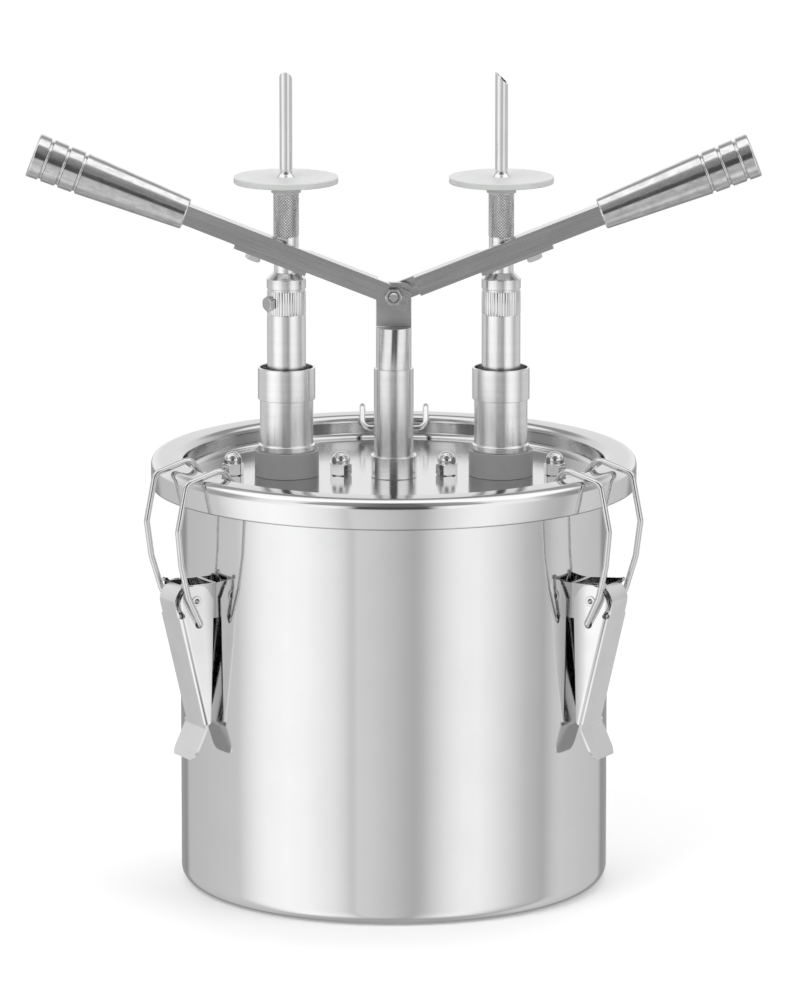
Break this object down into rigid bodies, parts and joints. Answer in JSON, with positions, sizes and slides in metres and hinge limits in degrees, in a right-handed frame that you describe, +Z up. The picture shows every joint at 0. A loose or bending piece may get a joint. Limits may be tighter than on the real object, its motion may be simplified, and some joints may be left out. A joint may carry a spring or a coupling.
{
  "type": "donut filler machine",
  "caption": "Hand-worked filler for donuts and pastries: a round lidded steel bucket held by toggle latches, with spring-return piston pumps, hollow needles and pump levers.",
  "frame": {"origin": "centre of the bucket's flat base, on the surface it stands on", "axes": "+Z up; the levers run along X, the rear latch points to +Y and the front of the bucket faces -Y"},
  "size_m": [0.3754, 0.2611, 0.4224],
  "materials": {
    "bucket_steel": "mirror polished",
    "lid_steel": "mirror polished",
    "turned_steel": "fine turned",
    "lever_steel": "brushed along the bar",
    "grip_steel": "polished, turned rings",
    "latch_steel": "polished sheet",
    "bail_wire": "bright drawn wire",
    "nut_steel": "diamond knurled",
    "fastener_steel": "bright",
    "spring_steel": "drawn wire",
    "grey_plastic": "moulded, satin",
    "white_plastic": "turned, satin",
    "white_seal": "matt",
    "black_seal": "matt"
  },
  "bodies": {
    "base": {"bucket": "bucket_steel", "lid": "lid_steel", "lid_gasket": "white_seal", "pump_base_ring_left": "grey_plastic", "pump_base_ring_right": "grey_plastic", "barrel_left": "turned_steel", "barrel_right": "turned_steel", "guide_bushes": "white_plastic", "pump_flange_left": "turned_steel", "pump_flange_right": "turned_steel", "acorn_nuts": "fastener_steel", "strainer_foot_left": "turned_steel", "strainer_foot_right": "turned_steel", "inlet_balls": "fastener_steel", "return_spring_left": "spring_steel", "return_spring_right": "spring_steel", "lever_post": "turned_steel", "post_foot_ring": "turned_steel", "post_screw": "fastener_steel", "post_washer": "fastener_steel", "pivot_bolt": "fastener_steel", "pivot_nut": "fastener_steel", "latch_bracket_rear": "latch_steel", "latch_bracket_left": "latch_steel", "latch_bracket_right": "latch_steel", "latch_pins": "latch_steel"},
    "left_lever": {"lever_bar_left": "lever_steel", "lever_grip_left": "grip_steel", "push_plate_left": "lever_steel", "plate_bolt_left": "fastener_steel"},
    "right_lever": {"lever_bar_right": "lever_steel", "lever_grip_right": "grip_steel", "push_plate_right": "lever_steel", "plate_bolt_right": "fastener_steel"},
    "left_piston": {"piston_tube_left": "turned_steel", "piston_head_left": "white_plastic", "piston_seal_left": "black_seal", "outlet_ball_left": "fastener_steel", "piston_cap_left": "turned_steel", "cap_screw_left": "fastener_steel", "stem_left": "turned_steel", "nozzle_nut_left": "nut_steel", "splash_disc_left": "white_plastic", "needle_left": "turned_steel"},
    "right_piston": {"piston_tube_right": "turned_steel", "piston_head_right": "white_plastic", "piston_seal_right": "black_seal", "outlet_ball_right": "fastener_steel", "piston_cap_right": "turned_steel", "cap_screw_right": "fastener_steel", "stem_right": "turned_steel", "nozzle_nut_right": "nut_steel", "splash_disc_right": "white_plastic", "needle_right": "turned_steel"},
    "rear_latch": {"latch_lever_rear": "latch_steel"},
    "rear_bail": {"latch_bail_rear": "bail_wire"},
    "left_latch": {"latch_lever_left": "latch_steel"},
    "left_bail": {"latch_bail_left": "bail_wire"},
    "right_latch": {"latch_lever_right": "latch_steel"},
    "right_bail": {"latch_bail_right": "bail_wire"}
  },
  "joints": [
    {"name": "left_lever_hinge", "type": "hinge", "parent": "base", "child": "left_lever", "pos_m": [0, 0, 0.3055], "axis": [0, -1, 0], "range_deg": [0, 26.5]},
    {"name": "right_lever_hinge", "type": "hinge", "parent": "base", "child": "right_lever", "pos_m": [0, 0, 0.3055], "axis": [0, 1, 0], "range_deg": [0, 26.5]},
    {"name": "left_piston_slide", "type": "slide", "parent": "base", "child": "left_piston", "axis": [0, 0, -1], "range_m": [0, 0.023], "stiffness_N_per_m": 600, "springref_m": -0.03, "deforming": ["return_spring_left"]},
    {"name": "right_piston_slide", "type": "slide", "parent": "base", "child": "right_piston", "axis": [0, 0, -1], "range_m": [0, 0.023], "stiffness_N_per_m": 600, "springref_m": -0.03, "deforming": ["return_spring_right"]},
    {"name": "rear_latch_hinge", "type": "hinge", "parent": "base", "child": "rear_latch", "pos_m": [0, 0.1215, 0.16], "axis": [1, 0, 0], "range_deg": [0, 90]},
    {"name": "rear_bail_hinge", "type": "hinge", "parent": "rear_latch", "child": "rear_bail", "pos_m": [0, 0.1202, 0.148], "axis": [1, 0, 0], "range_deg": [-76, 0]},
    {"name": "left_latch_hinge", "type": "hinge", "parent": "base", "child": "left_latch", "pos_m": [-0.10522, -0.06075, 0.16], "axis": [-0.5, 0.866, 0], "range_deg": [0, 90]},
    {"name": "left_bail_hinge", "type": "hinge", "parent": "left_latch", "child": "left_bail", "pos_m": [-0.1041, -0.0601, 0.148], "axis": [-0.5, 0.866, 0], "range_deg": [-76, 0]},
    {"name": "right_latch_hinge", "type": "hinge", "parent": "base", "child": "right_latch", "pos_m": [0.10522, -0.06075, 0.16], "axis": [-0.5, -0.866, 0], "range_deg": [0, 90]},
    {"name": "right_bail_hinge", "type": "hinge", "parent": "right_latch", "child": "right_bail", "pos_m": [0.1041, -0.0601, 0.148], "axis": [-0.5, -0.866, 0], "range_deg": [-76, 0]}
  ],
  "couplings": [
    {"joint": "left_piston_slide", "follows": "left_lever_hinge", "m_per_rad": 0.0495},
    {"joint": "right_piston_slide", "follows": "right_lever_hinge", "m_per_rad": 0.0495},
    {"joint": "rear_bail_hinge", "follows": "rear_latch_hinge", "ratio": -0.842},
    {"joint": "left_bail_hinge", "follows": "left_latch_hinge", "ratio": -0.842},
    {"joint": "right_bail_hinge", "follows": "right_latch_hinge", "ratio": -0.842}
  ]
}
